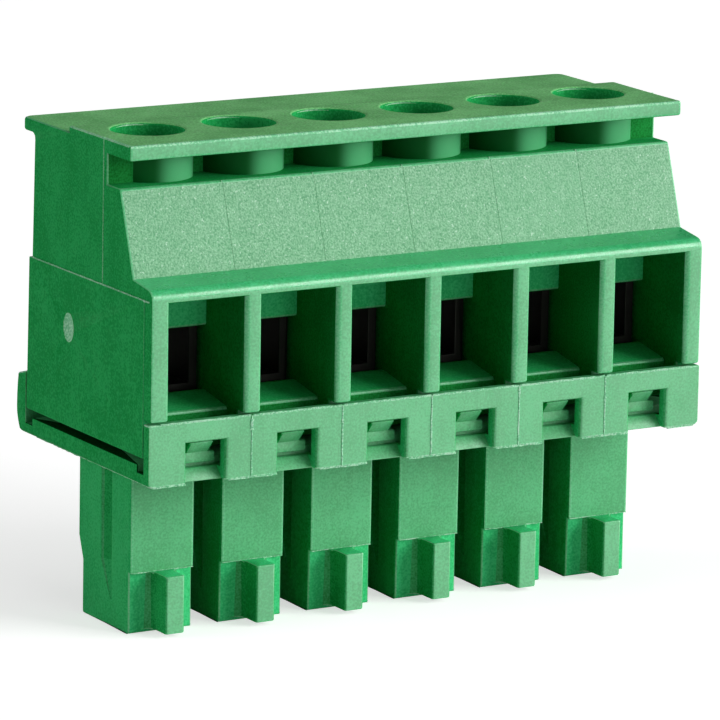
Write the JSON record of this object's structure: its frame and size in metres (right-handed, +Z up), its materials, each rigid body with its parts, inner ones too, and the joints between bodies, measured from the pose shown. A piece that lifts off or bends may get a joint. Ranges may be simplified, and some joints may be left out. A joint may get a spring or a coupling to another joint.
{
  "type": "pluggable terminal block",
  "caption": "Pluggable screw terminal block: moulded green body with a row of wire entries, screw wells on top and fingers below that plug onto a pin header.",
  "frame": {"origin": "under the middle of the block's outline, on the plane of the finger tips", "axes": "+X along the row of poles, +Y from the wire entries to the rear, +Z up from the finger tips to the screw wells"},
  "size_m": [0.0238, 0.0104, 0.0186],
  "materials": {
    "housing_green": "moulded green polyamide, satin with a spark-eroded slope",
    "base_green": "moulded green polyamide, satin",
    "plated_screw": "zinc-plated steel",
    "plated_cage": "steel with dark, dull nickel plating",
    "tinned_contact": "tin-plated copper alloy"
  },
  "bodies": {
    "block": {"housing": "housing_green", "plug_base": "base_green", "contact_1": "tinned_contact", "contact_2": "tinned_contact", "contact_3": "tinned_contact", "contact_4": "tinned_contact", "contact_5": "tinned_contact", "contact_6": "tinned_contact"},
    "screw_1": {"clamp_screw_1": "plated_screw"},
    "cage_1": {"clamp_cage_1": "plated_cage"},
    "screw_2": {"clamp_screw_2": "plated_screw"},
    "cage_2": {"clamp_cage_2": "plated_cage"},
    "screw_3": {"clamp_screw_3": "plated_screw"},
    "cage_3": {"clamp_cage_3": "plated_cage"},
    "screw_4": {"clamp_screw_4": "plated_screw"},
    "cage_4": {"clamp_cage_4": "plated_cage"},
    "screw_5": {"clamp_screw_5": "plated_screw"},
    "cage_5": {"clamp_cage_5": "plated_cage"},
    "screw_6": {"clamp_screw_6": "plated_screw"},
    "cage_6": {"clamp_cage_6": "plated_cage"}
  },
  "joints": [
    {"name": "cage_1_lift", "type": "slide", "parent": "block", "child": "cage_1", "axis": [0, 0, 1], "range_m": [0, 0.002]},
    {"name": "screw_1_turn", "type": "hinge", "parent": "block", "child": "screw_1", "pos_m": [-0.00953, -0.00051, 0.0162], "axis": [0, 0, -1], "range_deg": [0, 1801]},
    {"name": "cage_2_lift", "type": "slide", "parent": "block", "child": "cage_2", "axis": [0, 0, 1], "range_m": [0, 0.002]},
    {"name": "screw_2_turn", "type": "hinge", "parent": "block", "child": "screw_2", "pos_m": [-0.00571, -0.00051, 0.0162], "axis": [0, 0, -1], "range_deg": [0, 1801]},
    {"name": "cage_3_lift", "type": "slide", "parent": "block", "child": "cage_3", "axis": [0, 0, 1], "range_m": [0, 0.002]},
    {"name": "screw_3_turn", "type": "hinge", "parent": "block", "child": "screw_3", "pos_m": [-0.00191, -0.00051, 0.0162], "axis": [0, 0, -1], "range_deg": [0, 1801]},
    {"name": "cage_4_lift", "type": "slide", "parent": "block", "child": "cage_4", "axis": [0, 0, 1], "range_m": [0, 0.002]},
    {"name": "screw_4_turn", "type": "hinge", "parent": "block", "child": "screw_4", "pos_m": [0.00191, -0.00051, 0.0162], "axis": [0, 0, -1], "range_deg": [0, 1801]},
    {"name": "cage_5_lift", "type": "slide", "parent": "block", "child": "cage_5", "axis": [0, 0, 1], "range_m": [0, 0.002]},
    {"name": "screw_5_turn", "type": "hinge", "parent": "block", "child": "screw_5", "pos_m": [0.00571, -0.00051, 0.0162], "axis": [0, 0, -1], "range_deg": [0, 1801]},
    {"name": "cage_6_lift", "type": "slide", "parent": "block", "child": "cage_6", "axis": [0, 0, 1], "range_m": [0, 0.002]},
    {"name": "screw_6_turn", "type": "hinge", "parent": "block", "child": "screw_6", "pos_m": [0.00953, -0.00051, 0.0162], "axis": [0, 0, -1], "range_deg": [0, 1801]}
  ],
  "couplings": [
    {"joint": "screw_1_turn", "follows": "cage_1_lift", "rad_per_m": 15708},
    {"joint": "screw_2_turn", "follows": "cage_2_lift", "rad_per_m": 15708},
    {"joint": "screw_3_turn", "follows": "cage_3_lift", "rad_per_m": 15708},
    {"joint": "screw_4_turn", "follows": "cage_4_lift", "rad_per_m": 15708},
    {"joint": "screw_5_turn", "follows": "cage_5_lift", "rad_per_m": 15708},
    {"joint": "screw_6_turn", "follows": "cage_6_lift", "rad_per_m": 15708}
  ]
}
